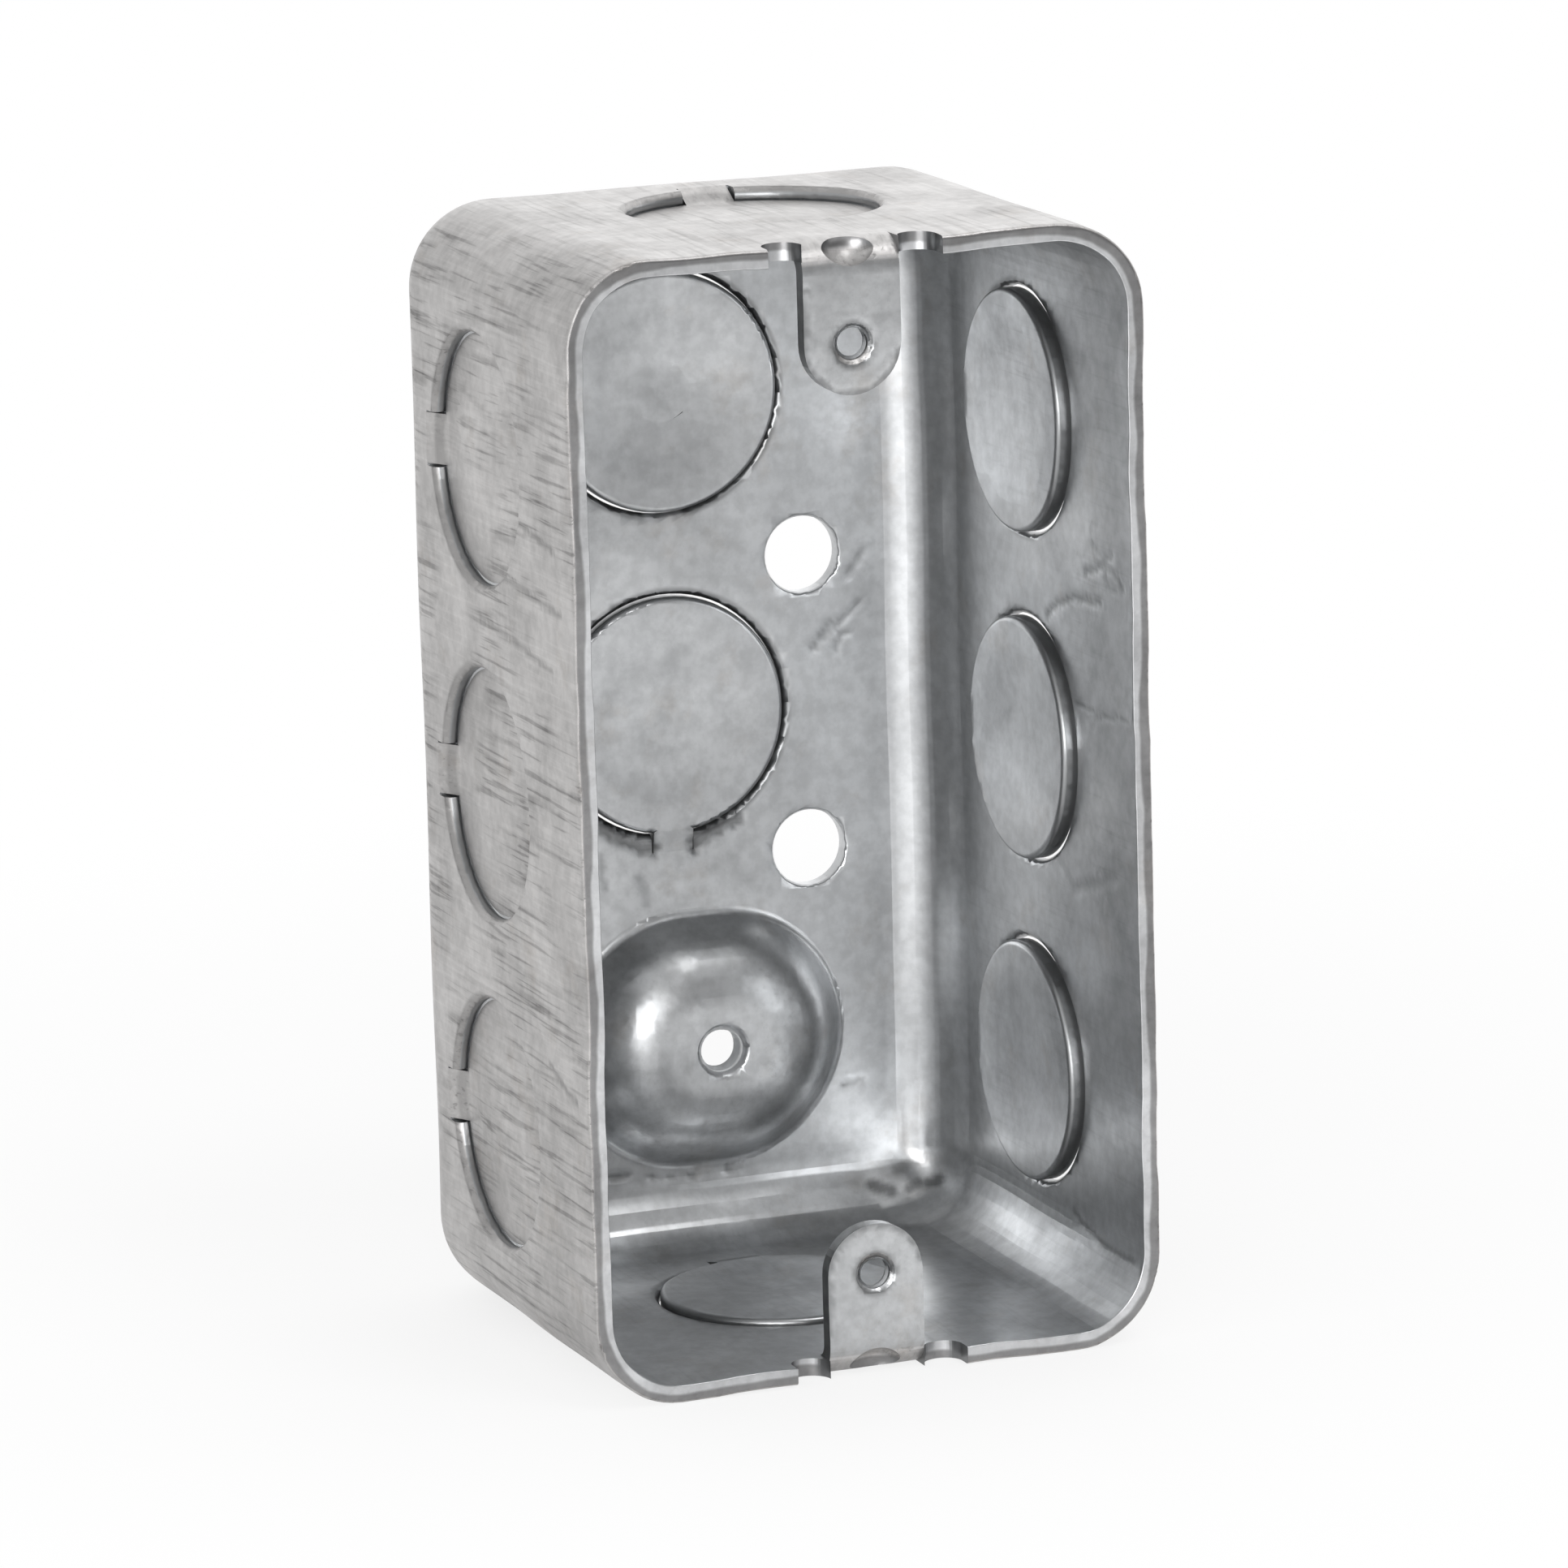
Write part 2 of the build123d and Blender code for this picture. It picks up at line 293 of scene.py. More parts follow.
def ripple(u, v, wavelength, seed, count=6):
    """Smooth uneven surface over u and v, between 0 and 1."""
    dice = np.random.default_rng(seed)
    total = 0
    for _ in range(count):
        turn = dice.uniform(0, 2 * pi)
        pace = 2 * pi / (wavelength * dice.uniform(0.7, 1.5))
        shift = dice.uniform(0, 2 * pi)
        total = total + np.sin(pace * (u * cos(turn) + v * sin(turn)) + shift)
    return 0.5 + 0.5 * np.tanh(total / 2)


def shell_place(points):
    """Depth under the shell's outside, and the outward direction there."""
    x, y, z = points.T
    upward = z - LENGTH / 2
    qx = np.abs(x) - FLAT_HALF_WIDTH
    qz = np.abs(upward) - FLAT_HALF_LENGTH
    px = np.maximum(qx, 0)
    pz = np.maximum(qz, 0)
    ring = np.hypot(px, pz)
    wall = ring + np.minimum(np.maximum(qx, qz), 0) - CORNER_RADIUS
    inner = wall + BACK_BEND_RADIUS
    deep = y - BACK_BEND_START
    pw = np.maximum(inner, 0)
    pd = np.maximum(deep, 0)
    bend = np.hypot(pw, pd)
    depth = -(bend + np.minimum(np.maximum(inner, deep), 0) - BACK_BEND_RADIUS)
    rounded = ring > NOTHING
    side_x = np.where(rounded, px / np.maximum(ring, NOTHING), (qx > qz) * 1.0) * np.sign(x)
    side_z = np.where(rounded, pz / np.maximum(ring, NOTHING), (qx <= qz) * 1.0) * np.sign(upward)
    back_share = np.where(inner > 0, pd / np.maximum(bend, NOTHING), (deep > inner) * 1.0)
    side_share = np.sqrt(np.maximum(1 - back_share ** 2, 0))
    outward = np.stack((side_x * side_share, back_share, side_z * side_share), axis=1)
    return depth, outward


def inside_share(depth):
    """0 on the sheet's outer face, 1 on its inner face."""
    return ramp(depth, FACE_DEPTH, SHEET - FACE_DEPTH)


def wall_waves(points):
    """Shallow waves of the walls and the back, always towards the inside."""
    x, y, z = points.T
    shift = np.zeros_like(points)
    for sign, seed in ((-1, 11), (1, 12)):
        near = ramp(sign * x, 8, 26)
        shift[:, 0] -= sign * near * WALL_WAVE * ripple(y, z, SIDE_WAVELENGTH, seed)
    for sign, seed in ((-1, 13), (1, 14)):
        near = ramp(sign * (z - LENGTH / 2), 30, 50)
        shift[:, 2] -= sign * near * WALL_WAVE * ripple(x, y, END_WAVELENGTH, seed)
    near_back = ramp(y, 8, 22)
    shift[:, 1] -= near_back * BACK_WAVE * ripple(x, z, BACK_WAVELENGTH, 15)
    return shift


def rim_waves(points):
    """The sheared rim is not quite straight, and is knocked in a little here and there."""
    x, y, z = points.T
    _, outward = shell_place(points)
    near = ramp(-y, 19, HALF_DEPTH - 0.4)
    dented = ramp(-y, 20, HALF_DEPTH) * ramp(ripple(x, z, RIM_DENT_WAVELENGTH, 23), 0.5, 1.0)
    shift = -outward * (RIM_DENT * dented)[:, None]
    shift[:, 1] += near * RIM_WAVE * (0.7 * ripple(x, z, 16, 21) + 0.3 * ripple(x, z, 4, 22))
    return shift


def corner_lumps(points):
    """Uneven lumps that the drawing left inside the four corners of the back."""
    x, y, z = points.T
    shift = np.zeros_like(points)
    depth, outward = shell_place(points)
    on_inside = inside_share(depth)
    vy = y - BACK_BEND_START
    for side in (-1, 1):
        for end in (-1, 1):
            vx = side * x - FLAT_HALF_WIDTH
            vz = end * (z - LENGTH / 2) - FLAT_HALF_LENGTH
            near = ramp(vx, -5, 2) * ramp(vz, -5, 2) * ramp(vy, -4, 2)
            lumps = ripple(x + 0.6 * y, z - 0.8 * y, LUMP_WAVELENGTH, 40 + 2 * side + end)
            shift -= outward * (on_inside * near * CORNER_LUMP * lumps)[:, None]
    return shift


def bend_crests(points):
    """Low ridges inside, where the back turns into the two end walls."""
    x, y, z = points.T
    shift = np.zeros_like(points)
    depth, outward = shell_place(points)
    here = inside_share(depth) * ramp(y, 17, 20.5) * ramp(-np.abs(x), -24, -20)
    for level, seed in ((CREST_LEVEL, 51), (LENGTH - CREST_LEVEL, 52)):
        waver = CREST_WAVER * (ripple(x, y, CREST_WAVELENGTH, seed) - 0.5)
        away = np.abs(z - level - waver)
        shift -= outward * (here * CREST_HEIGHT * ramp(-away, -CREST_HALF_WIDTH, 0))[:, None]
    return shift


def upper_dish(points):
    """The back's upper knockout is dished more than the others: its edge stands further in."""
    x, y, z = points.T
    middle_x, middle_z = UPPER_DISC
    away = np.hypot(x - middle_x, z - middle_z)
    on_tie = (np.abs(z - middle_z) < UPPER_TIE_HALF_WIDTH) & (x < middle_x)
    fade = np.where(on_tie, ramp(-away, *UPPER_TIE_FADE), (away < UPPER_DISC_RADIUS) * 1.0)
    rise = UPPER_DISH * np.minimum(away / UPPER_DISC_RADIUS, 1) ** 2
    shift = np.zeros_like(points)
    shift[:, 1] = -rise * fade * (y > NEAR_BACK)
    return shift


def closed_slits(points):
    """The slits beside the middle back knockout's tie are pinched almost shut."""
    x, y, z = points.T
    shift = np.zeros_like(points)
    low, high = SLIT_ENDS
    beside_tie = (z > low) & (z < high) & (y > NEAR_BACK)
    for column in TIE_SLITS:
        off = x - column
        in_slit = (np.abs(off) < SLIT_REACH) & beside_tie
        shift[:, 0] -= np.where(in_slit, SLIT_PINCH * off, 0)
    return shift


def mark_points(line):
    """A mark's points in the model's frame, and the axis that its face looks along."""
    axis = 0 if line[0][0] in (RIGHT, LEFT) else 1
    places = [p if axis == 0 else (p[1], p[0], p[2]) for p in line]
    return np.array(places), axis


def away_from(points, line):
    """Distance of each point from a line of straight runs."""
    nearest = np.full(len(points), np.inf)
    for start, end in zip(line, line[1:]):
        run = end - start
        share = np.clip((points - start) @ run / (run @ run), 0, 1)
        off = np.linalg.norm(points - start - share[:, None] * run, axis=1)
        nearest = np.minimum(nearest, off)
    return nearest


def press_marks(points):
    """How dark the marks, painted shade among them, leave each point, and how far they press the
    sheet in there.
    """
    shade = np.zeros(len(points))
    shift = np.zeros_like(points)
    x, y, z = points.T
    waver = MARK_WAVER * (ripple(x + 2 * y, z, MARK_WAVELENGTH, 31) - 0.5)
    for darkness, half_width, line in MARKS_AND_SHADE:
        places, axis = mark_points(line)
        on_flat = line[0][0] in (RIGHT, BACK, DISC, LEFT, EAR)
        away = away_from(points, places) / half_width + waver * on_flat
        here = darkness * ramp(-away, -1, -MARK_CORE)
        shade = np.maximum(shade, here)
        if half_width < FINE_MARK and on_flat:
            shift[:, axis] = np.maximum(shift[:, axis], MARK_DEPTH * here)
    return shade, shift


def grid_cells(axis):
    """Number of the grid's cells along an axis."""
    low, high = cad_box
    return int((high[axis] - low[axis]) / (GRID_STEP * MM))


def cut(work, parts, axis, level):
    """Cut parts of a mesh by the plane that stands across an axis at a level."""
    place = [0, 0, 0]
    normal = [0, 0, 0]
    place[axis] = level
    normal[axis] = 1
    return bmesh.ops.bisect_plane(work, geom=parts, dist=MERGE * MM,
                                  plane_co=place, plane_no=normal)["geom"]


def slice_cells(work, faces, axis):
    """Cut the given faces further, so that each cell of the grid has finer slices."""
    low, high = cad_box
    cell = (high[axis] - low[axis]) / grid_cells(axis)
    rows = {}
    for face in faces:
        row = int((face.calc_center_median()[axis] - low[axis]) / cell)
        rows.setdefault(row, []).append(face)
    made = []
    for row, members in rows.items():
        # A dict keeps the parts in their order, so that each run makes the same mesh
        parts = dict.fromkeys(members)
        for face in members:
            parts.update(dict.fromkeys(face.edges))
            parts.update(dict.fromkeys(face.verts))
        parts = list(parts)
        for slice_number in range(1, FINE_SLICES):
            level = low[axis] + (row + slice_number / FINE_SLICES) * cell
            parts = cut(work, parts, axis, level)
        made += [part for part in parts if isinstance(part, bmesh.types.BMFace)]
    return made


def refine_marks(work):
    """Finer cells under the narrow marks, so that the mesh can carry them."""
    faces = list(work.faces)
    middles = np.array([face.calc_center_median() for face in faces]) / MM
    for axis in (0, 1):
        near = np.zeros(len(faces), dtype=bool)
        for _, half_width, line in MARKS_AND_SHADE:
            places, face_axis = mark_points(line)
            if face_axis == axis and half_width < FINE_MARK:
                near |= away_from(middles, places) < half_width + FINE_REACH * GRID_STEP
        chosen = [faces[k] for k in np.nonzero(near)[0]]
        for across in (1 - axis, 2):
            chosen = slice_cells(work, chosen, across)


def gridded(source):
    """Copy of a mesh, cut by an even grid of planes so that it can be shaped."""
    work = bmesh.new()
    work.from_mesh(source)
    bmesh.ops.remove_doubles(work, verts=work.verts, dist=MERGE * MM)
    bmesh.ops.dissolve_limit(work, angle_limit=radians(FLAT_ANGLE), use_dissolve_boundaries=False,
                             verts=work.verts, edges=work.edges, delimit=set())
    low, high = cad_box
    for axis in range(3):
        count = grid_cells(axis)
        for step in range(1, count):
            everything = work.verts[:] + work.edges[:] + work.faces[:]
            cut(work, everything, axis, low[axis] + (high[axis] - low[axis]) * step / count)
    refine_marks(work)
    mesh = bpy.data.meshes.new("box_skin")
    work.to_mesh(mesh)
    work.free()
    for name in ("custom_normal", "sharp_face", "sharp_edge"):
        if name in mesh.attributes:
            mesh.attributes.remove(mesh.attributes[name])
    return mesh


def read_table(items, name):
    """A vector property of all of a mesh's vertices or faces, one row each."""
    flat = np.empty(len(items) * 3, dtype=np.float32)
    items.foreach_get(name, flat)
    return flat.reshape(-1, 3)


def add_layer(mesh, name, domain, values):
    layer = mesh.attributes.new(name, "FLOAT", domain)
    layer.data.foreach_set("value", values.astype(np.float32))


def mark_faces(mesh, points):
    """Attributes for the material: faces outside, on the sheared rim, and on sheared edges."""
    depth, _ = shell_place(points)
    normals = read_table(mesh.polygons, "normal")
    middles = read_table(mesh.polygons, "center")
    _, outward = shell_place(middles.astype(float) / MM)
    facing = (normals * outward).sum(axis=1)
    x, y, z = middles.T / MM
    # The material darkens sheared faces: partly their burnished metal, partly painted shade
    sheared = 1 - ramp(np.abs(facing), 0.35, 0.6)
    for level in HOLE_LEVELS:
        sheared[np.hypot(x - HOLE_COLUMN, z - level) < HOLE_REACH] = 0
    sheared *= np.where(y < NEAR_RIM, 1, 0.25)
    at_rim = ramp(-normals[:, 1], 0.6, 0.9) * ramp(-y, 19, 20)
    add_layer(mesh, "outside", "FACE", ramp(facing, 0.1, 0.5))
    add_layer(mesh, "rim", "FACE", sheared * at_rim)
    add_layer(mesh, "sheared", "FACE", sheared * (1 - at_rim))
    add_layer(mesh, "skin_depth", "POINT", depth)


def add_skin():
    """The box as one mesh piece, with the unevenness of drawn sheet steel."""
    mesh = gridded(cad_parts["box_body"].data)
    points = read_table(mesh.vertices, "co").astype(float) / MM
    mark_faces(mesh, points)
    shade, pressed = press_marks(points)
    add_layer(mesh, "marks", "POINT", shade)
    worked = wall_waves(points) + rim_waves(points) + corner_lumps(points) + bend_crests(points)
    worked += closed_slits(points)
    points = points + worked + upper_dish(points) + pressed
    mesh.vertices.foreach_set("co", (points * MM).astype(np.float32).ravel())
    mesh.materials.clear()
    print("box_skin triangles", sum(len(face.vertices) - 2 for face in mesh.polygons))
    skin = add_piece("box_skin", mesh)
    weigh = skin.modifiers.new("even_normals", "WEIGHTED_NORMAL")
    weigh.keep_sharp = True
    weigh.weight = NORMAL_WEIGHT
    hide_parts("box_body")


def add_piece(name, mesh):
    """A steel piece with a finished mesh, which rides on the box's one body."""
    mesh.shade_smooth()
    mesh.set_sharp_from_angle(angle=radians(SHARP_ANGLE))
    mesh.materials.append(steel)
    piece = bpy.data.objects.new(name, mesh)
    bpy.context.scene.collection.objects.link(piece)
    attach(piece, "root")
    return piece


def add_thread(name, mouth, radius, length):
    """The thread of a tapped hole: one ridge that winds along the bore, from its mouth on."""
    work = bmesh.new()
    turns = (length - 2 * THREAD_START * THREAD_PITCH) / THREAD_PITCH
    last = int(THREAD_STEPS * turns)
    rings = []
    for k in range(last + 1):
        angle = 2 * pi * k / THREAD_STEPS
        middle = mouth[1] + THREAD_START * THREAD_PITCH + THREAD_PITCH * k / THREAD_STEPS
        fade = min(1, k / THREAD_FADE_STEPS, (last - k) / THREAD_FADE_STEPS)
        ring = []
        for along, inwards in ((-THREAD_HALF_WIDTH, THREAD_ROOT), (0, THREAD_DEPTH * fade),
                               (THREAD_HALF_WIDTH, THREAD_ROOT)):
            reach = radius - inwards
            spot = (mouth[0] + reach * cos(angle), middle + along * THREAD_PITCH,
                    mouth[2] + reach * sin(angle))
            ring.append(work.verts.new(Vector(spot) * MM))
        rings.append(ring)
    for first, second in zip(rings, rings[1:]):
        for k in range(3):
            after = (k + 1) % 3
            work.faces.new((first[k], first[after], second[after], second[k]))
    work.faces.new(rings[0])
    work.faces.new(rings[-1])
    bmesh.ops.recalc_face_normals(work, faces=work.faces)
    mesh = bpy.data.meshes.new(name)
    work.to_mesh(mesh)
    work.free()
    add_piece(name, mesh)


def principled(name):
    """New material with its Principled shader, and the shader's node tree."""
    material = bpy.data.materials.new(name)
    material.use_nodes = True
    tree = material.node_tree
    return material, tree, tree.nodes["Principled BSDF"]


class Weave:
    """Short hand for wiring a node tree: inputs are numbers, tuples or other nodes' outputs."""

    def __init__(self, tree):
        self.tree = tree

    def node(self, kind, inputs=(), output=0, **settings):
        made = self.tree.nodes.new(kind)
        for name, value in settings.items():
            setattr(made, name, value)
        for key, value in dict(inputs).items():
            socket = made.inputs[key]
            if isinstance(value, bpy.types.NodeSocket):
                self.tree.links.new(value, socket)
            else:
                socket.default_value = value
        return made.outputs[output]

    def math(self, operation, first, second=0.0, clamp=False):
        inputs = {0: first, 1: second}
        return self.node("ShaderNodeMath", inputs, operation=operation, use_clamp=clamp)

    def times(self, value, *factors):
        for factor in factors:
            value = self.math("MULTIPLY", value, factor)
        return value

    def rest(self, share):
        """1 less a share."""
        return self.math("SUBTRACT", 1.0, share)

    def vector(self, operation, first, second):
        return self.node("ShaderNodeVectorMath", {0: first, 1: second}, operation=operation)

    def length(self, vector):
        return self.node("ShaderNodeVectorMath", {0: vector}, output=1, operation="LENGTH")

    def scale(self, vector, factors):
        return self.vector("MULTIPLY", vector, factors)

    def place(self):
        """The point in the object's own frame, in metres."""
        return self.node("ShaderNodeTexCoord", output=3)

    def parts(self, vector):
        """The x, y and z of a vector."""
        made = self.tree.nodes.new("ShaderNodeSeparateXYZ")
        self.tree.links.new(vector, made.inputs[0])
        return tuple(made.outputs)

    def step(self, value, low, high, start=0.0, end=1.0):
        inputs = {0: value, 1: low, 2: high, 3: start, 4: end}
        return self.node("ShaderNodeMapRange", inputs, interpolation_type="SMOOTHSTEP")

    def noise(self, vector, scale, detail=2.0, roughness=0.5, distortion=0.0):
        inputs = {"Vector": vector, "Scale": scale, "Detail": detail,
                  "Roughness": roughness, "Distortion": distortion}
        return self.node("ShaderNodeTexNoise", inputs)

    def tint(self, factor, first, second, blend="MIX"):
        inputs = {0: factor, 6: first, 7: second}
        return self.node("ShaderNodeMix", inputs, output=2, data_type="RGBA", blend_type=blend)

    def multiplied(self, factor, colour, by):
        """The colour, multiplied by another one where the factor is 1."""
        return self.tint(factor, colour, self.tint(1.0, colour, by, "MULTIPLY"))

    def attribute(self, name):
        return self.node("ShaderNodeAttribute", output=2, attribute_name=name)


def from_knockout(w, level, lowest):
    """Height above the nearest knockout of a row, whose knockouts count from lowest to 1."""
    number = w.math("ROUND", w.math("DIVIDE", level, KNOCKOUT_PITCH))
    number = w.math("MAXIMUM", w.math("MINIMUM", number, 1.0), lowest)
    return w.math("SUBTRACT", level, w.times(number, KNOCKOUT_PITCH))


def one_shade_band(w, first, second, share):
    """Ring round a knockout's middle, from which the point is away by first and second."""
    radius = w.length(w.node("ShaderNodeCombineXYZ", {0: first, 1: second}))
    away = w.math("ABSOLUTE", w.math("SUBTRACT", radius, SHADE_BAND_RADIUS))
    return w.times(w.step(away, 0.8, 0.3), share)


def knockout_shade_bands(w, x, y, z, inside):
    """Strength of the soft band of painted shade round each knockout, on the groove of its sheared
    edge.

    On the walls it shows weaker, and outside only on the half towards the back. On the back it
    has a gap below each knockout, where the middle one has its tie.
    """
    up = w.math("SUBTRACT", z, SIDE_LEVEL)
    along = w.math("SUBTRACT", y, SIDE_ROW)
    across = w.math("SUBTRACT", x, BACK_COLUMN)
    shown = w.math("MAXIMUM", w.times(inside, SHADE_BAND_ON_WALLS),
                   w.times(w.step(along, 0, 5), SHADE_BAND_ON_WALLS))
    on_sides = w.times(w.step(w.math("ABSOLUTE", x), 23.0, 24.5), shown)
    on_ends = w.times(w.step(w.math("ABSOLUTE", up), 47.0, 48.5), shown)
    level = from_knockout(w, w.math("SUBTRACT", z, BACK_LEVEL), 0)
    gap = w.times(w.step(w.math("ABSOLUTE", across), 2.2, 1.6), w.step(level, -8, -9))
    on_back = w.times(w.step(y, 19.5, 21.0), w.rest(gap))
    bands = one_shade_band(w, from_knockout(w, up, -1), along, on_sides)
    bands = w.math("MAXIMUM", bands, one_shade_band(w, level, across, on_back))
    return w.math("MAXIMUM", bands, one_shade_band(w, x, along, on_ends))


def drawn_lines(w, place):
    """Broad and fine noise along the way the sheet was drawn.

    An uneven shift along that way keeps the noise's own grid from showing as a seam.
    """
    slide = w.times(w.noise(w.scale(place, (1, 0, 1)), 0.05, 2), 40.0)
    slid = w.vector("ADD", place, w.node("ShaderNodeCombineXYZ", {1: slide}))
    broad = w.noise(w.scale(slid, (1, 0.07, 1)), 0.75, 3, 0.55, 0.3)
    fine = w.noise(w.scale(slid, (1, 0.035, 1)), 1.9, 2, 0.6, 0.2)
    return broad, fine


def galvanized_steel():
    """Zinc-coated sheet: mottled satin grey, draw marks outside, stains, sheared edges and painted
    shade.
    """
    material, tree, shader = principled("drawn_zinc_sheet")
    w = Weave(tree)
    place = w.scale(w.place(), (1000, 1000, 1000))
    x, y, z = w.parts(place)
    outside = w.attribute("outside")
    depth = w.attribute("skin_depth")
    inside = w.math("SUBTRACT", 1.0, outside, clamp=True)

    cloud = w.noise(place, 0.11, 4, 0.6)
    fleck = w.noise(place, 0.8, 3, 0.6)
    patch = w.noise(place, 0.07, 2, 0.5)
    broad, fine = drawn_lines(w, place)
    streak = w.times(w.step(broad, 0.53, 0.68), w.step(patch, 0.40, 0.58), STREAK)
    hair = w.times(w.step(fine, 0.55, 0.66), w.step(patch, 0.36, 0.56))
    streak = w.math("ADD", streak, w.times(hair, HAIRLINE))
    # The streaks are strongest outside, and weak on the back and on the upper end
    streak = w.times(streak, w.math("ADD", 0.2, w.times(outside, 0.8)))
    streak = w.times(streak, w.step(y, 22.5, 20.0, 0.1, 1.0))
    streak = w.times(streak, w.rest(w.times(w.step(z, 99.0, 101.4), 0.6)))
    polished = w.times(w.step(fine, 0.46, 0.36), outside, POLISHED)

    tone = w.math("ADD", w.step(cloud, 0.3, 0.7, 0.90, 1.09), w.step(fleck, 0.3, 0.7, -0.08, 0.08))
    tone = w.math("SUBTRACT", tone, streak)
    tone = w.math("ADD", tone, polished)
    # The marks, painted shade among them, show inside, and outside on the left wall only
    marks = w.times(w.attribute("marks"), w.math("MAXIMUM", inside, w.step(x, -22.0, -25.0)))
    band = w.times(knockout_shade_bands(w, x, y, z, inside), w.step(fleck, 0.25, 0.75, 0.34, 0.52))
    up = w.math("ABSOLUTE", w.math("SUBTRACT", z, SIDE_LEVEL))
    walls = w.math("MAXIMUM", w.step(w.math("ABSOLUTE", x), 23.0, 25.2), w.step(up, 47.5, 49.0))
    # Painted shade darkens the tone here: in some marks, in the bands round the knockouts, on the
    # inside of the walls and ends, and on sheared edges together with their burnished metal
    for loss in (marks, band, w.times(walls, inside, PAINTED_WALL_SHADE),
                 w.times(w.attribute("sheared"), SHEARED_EDGE_AND_SHADE)):
        tone = w.times(tone, w.rest(loss))
    shade = w.node("ShaderNodeCombineColor", {0: tone, 1: tone, 2: tone})
    colour = w.tint(1.0, w.tint(outside, INSIDE_ZINC, OUTSIDE_ZINC), shade, "MULTIPLY")

    stain = w.times(w.step(w.noise(place, 0.16, 5, 0.65), 0.55, 0.72), 0.5)
    colour = w.multiplied(stain, colour, STAINED)
    at_rim = w.times(w.attribute("rim"), w.step(depth, 2.0, 1.75))
    uneven = w.math("ADD", depth, w.step(w.noise(place, 0.12, 2, 0.5), 0.3, 0.7, -0.2, 0.2))
    colour = w.multiplied(w.times(at_rim, w.step(uneven, 1.05, 0.70)), colour, BURNISHED)
    colour = w.multiplied(w.times(at_rim, w.step(uneven, 0.75, 1.05)), colour, TORN)

    rough = w.math("ADD", w.step(cloud, 0.3, 0.7, 0.36, 0.28), w.times(outside, 0.12))
    rough = w.math("ADD", rough, w.times(streak, 0.5))

    height = w.times(w.noise(place, 0.9, 1, 0.5), GRAIN_BUMP)
    height = w.math("ADD", height, w.times(broad, outside, DRAWN_BUMP))
    height = w.math("SUBTRACT", height, w.times(hair, outside, HAIRLINE_BUMP))
    bump = w.node("ShaderNodeBump", {"Strength": 1.0, "Distance": MM, "Height": height})

    tree.links.new(colour, shader.inputs["Base Color"])
    tree.links.new(rough, shader.inputs["Roughness"])
    tree.links.new(bump, shader.inputs["Normal"])
    shader.inputs["Metallic"].default_value = METALLIC
    return material


def add_camera():
    """Camera at the photograph's viewing angle, aimed near the middle of the box."""
    turn, pitch, roll = radians(VIEW_TURN), radians(VIEW_PITCH), radians(VIEW_ROLL)
    ahead = Vector((-sin(turn) * cos(pitch), cos(turn) * cos(pitch), -sin(pitch)))
    level = Vector((cos(turn), sin(turn), 0))
    upright = level.cross(ahead)
    right = level * cos(roll) + upright * sin(roll)
    up = upright * cos(roll) - level * sin(roll)
    low, high = cad_box
    aim = (low + high) / 2
    place = aim - ahead * VIEW_DISTANCE + right * VIEW_ASIDE + up * VIEW_RISE
    data = bpy.data.cameras.new("camera")
    data.sensor_width = FILM_WIDTH
    data.lens = FOCAL_LENGTH
    data.clip_start = 0.05
    data.clip_end = 20
    camera = bpy.data.objects.new("camera", data)
    axes = Matrix((right, up, -ahead)).transposed().to_4x4()
    camera.matrix_world = Matrix.Translation(place) @ axes
    bpy.context.scene.collection.objects.link(camera)
    bpy.context.scene.camera = camera


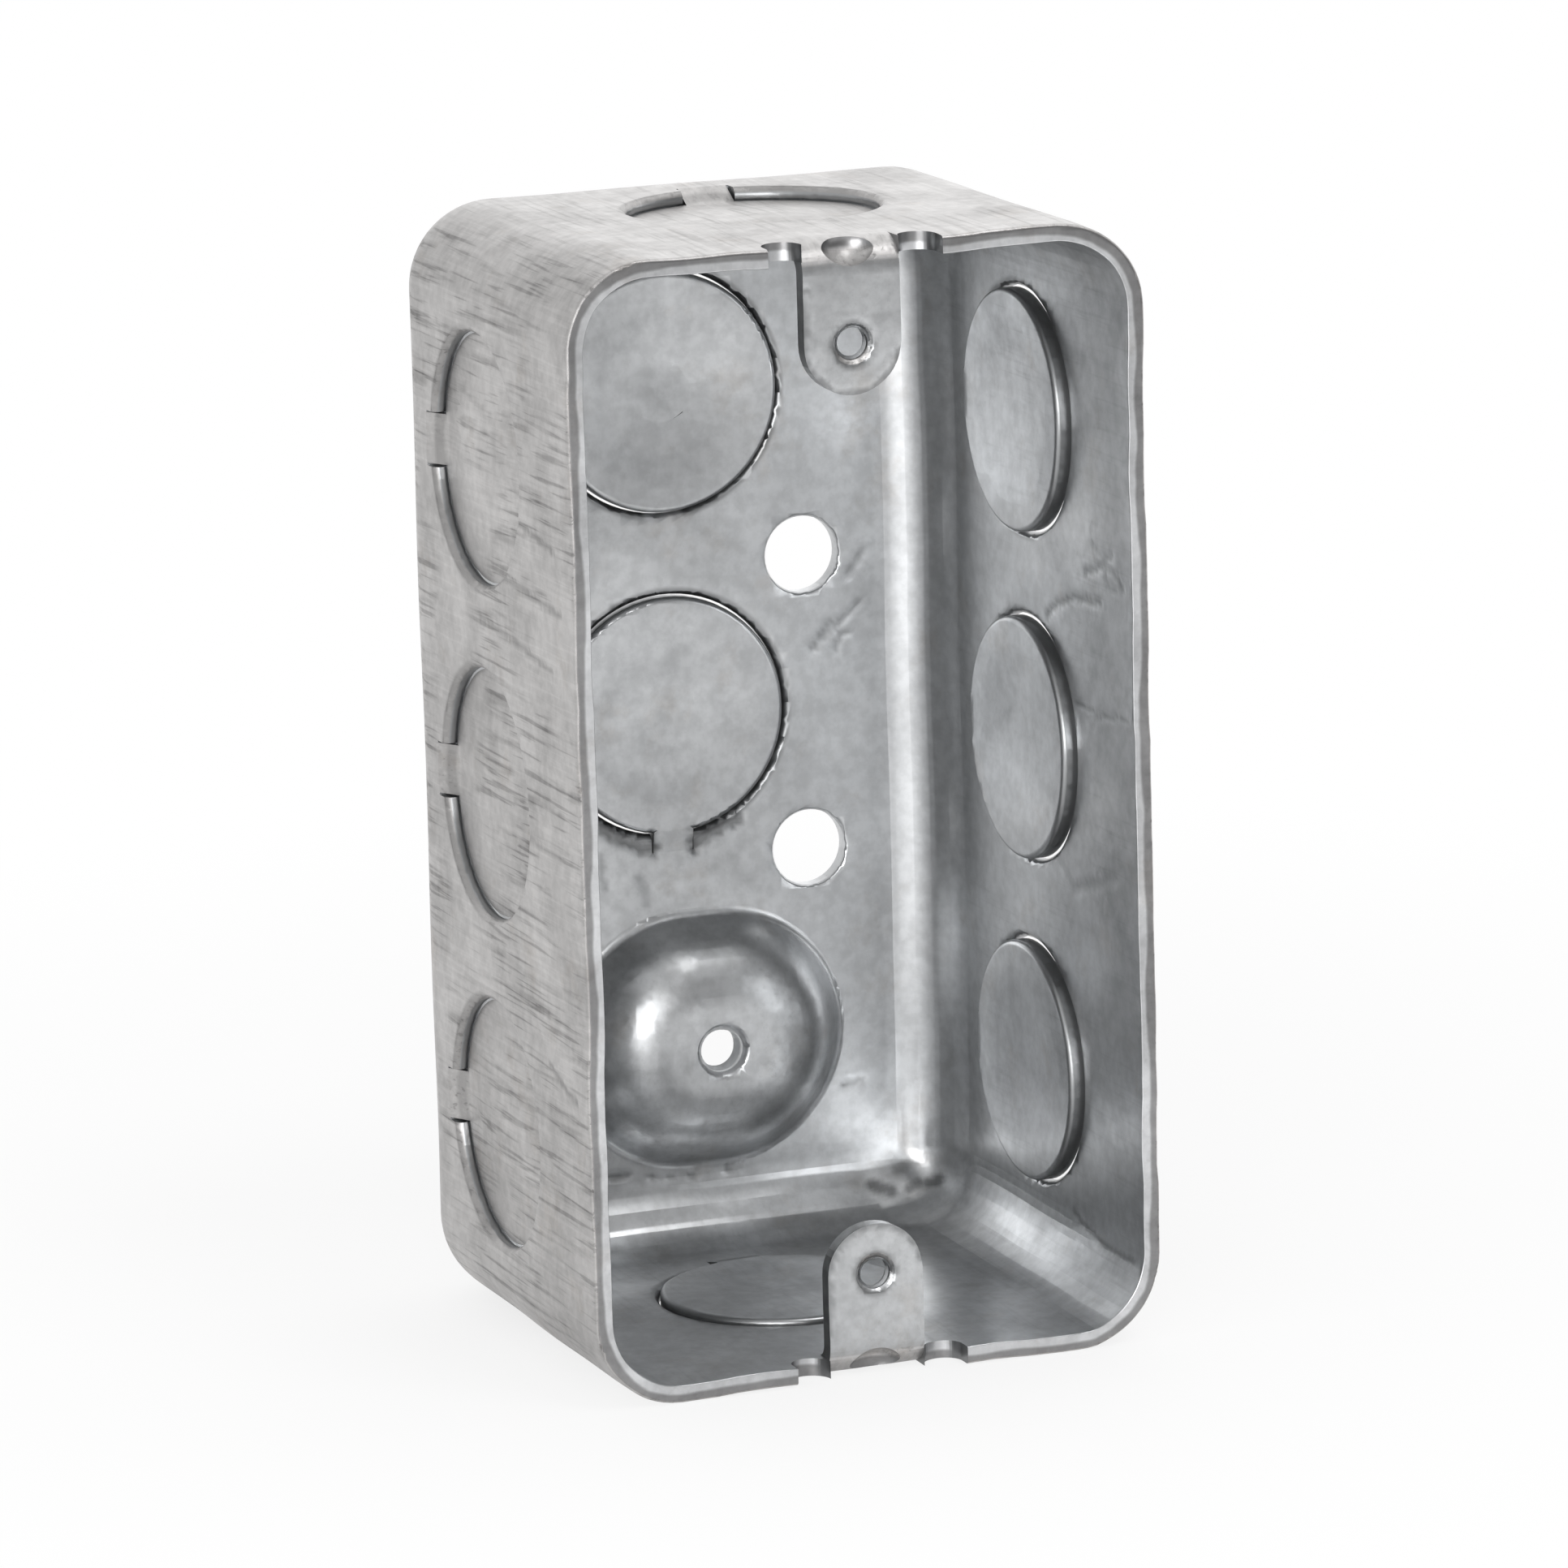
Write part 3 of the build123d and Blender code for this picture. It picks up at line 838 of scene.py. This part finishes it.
def add_floor():
    """Pale floor that keeps the box's shadow near it and is plain white farther off."""
    material, tree, shader = principled("floor_white")
    w = Weave(tree)
    shader.inputs["Base Color"].default_value = FLOOR_COLOUR
    shader.inputs["Roughness"].default_value = 0.9
    place = w.place()
    away = w.length(w.vector("SUBTRACT", place, (0.02, 0.06, 0)))
    rays = tree.nodes.new("ShaderNodeLightPath").outputs
    directly = w.math("MAXIMUM", rays["Is Camera Ray"], rays["Is Transmission Ray"])
    white = w.times(w.step(away, 0.03, 0.17, 0.72, 1.0), directly)
    mirrored = w.times(w.step(away, 0.05, 0.30, 0.35, 1.0), rays["Is Glossy Ray"])
    # The steel mirrors a floor that is dimmer towards the front
    dimmed = w.step(w.parts(place)[1], -0.9, -0.25, 0.45, 1.0)
    glow = w.node("ShaderNodeEmission",
                  {"Strength": w.math("MAXIMUM", dimmed, rays["Is Camera Ray"])})
    share = w.math("MAXIMUM", white, mirrored)
    mixed = w.node("ShaderNodeMixShader", {0: share, 1: shader.outputs[0], 2: glow})
    tree.links.new(mixed, tree.nodes["Material Output"].inputs["Surface"])
    bpy.ops.mesh.primitive_plane_add(size=FLOOR_SIZE, location=(0, 0, 0))
    floor = bpy.context.object
    floor.name = "floor"
    floor.data.materials.append(material)


def add_lamp(name, place, aim, size, power):
    data = bpy.data.lights.new(name, "AREA")
    data.shape = "SQUARE"
    data.size = size
    data.energy = power
    lamp = bpy.data.objects.new(name, data)
    lamp.location = place
    direction = Vector(aim) - Vector(place)
    lamp.rotation_euler = direction.to_track_quat("-Z", "Y").to_euler()
    bpy.context.scene.collection.objects.link(lamp)


def add_world():
    """Soft white surroundings, dimmer in front and to the right; plain white where seen."""
    world = bpy.data.worlds.new("studio")
    bpy.context.scene.world = world
    world.use_nodes = True
    tree = world.node_tree
    w = Weave(tree)
    x, y, z = w.parts(w.node("ShaderNodeTexCoord", output=0))
    behind = w.step(y, -0.45, 0.35)
    back_part = w.times(behind, w.step(x, -0.3, 0.4, 0.85, 1.5))
    front_part = w.times(w.rest(behind), w.step(x, 0.35, -0.5, 0.28, 0.85))
    above = w.step(z, 0.25, 0.60, 0.0, 0.5)
    strength = w.math("MAXIMUM", w.math("ADD", back_part, front_part), above)
    rays = tree.nodes.new("ShaderNodeLightPath").outputs
    strength = w.math("MAXIMUM", strength, rays["Is Camera Ray"])
    background = tree.nodes["Background"]
    tree.links.new(strength, background.inputs["Strength"])
    background.inputs["Color"].default_value = (1, 1, 1, 1)


steel = galvanized_steel()
add_camera()
add_skin()
for hole in TAPPED_HOLES:
    add_thread(*hole)
add_floor()
add_world()
for lamp in LAMPS:
    add_lamp(*lamp)
bpy.context.scene.view_settings.view_transform = "Standard"
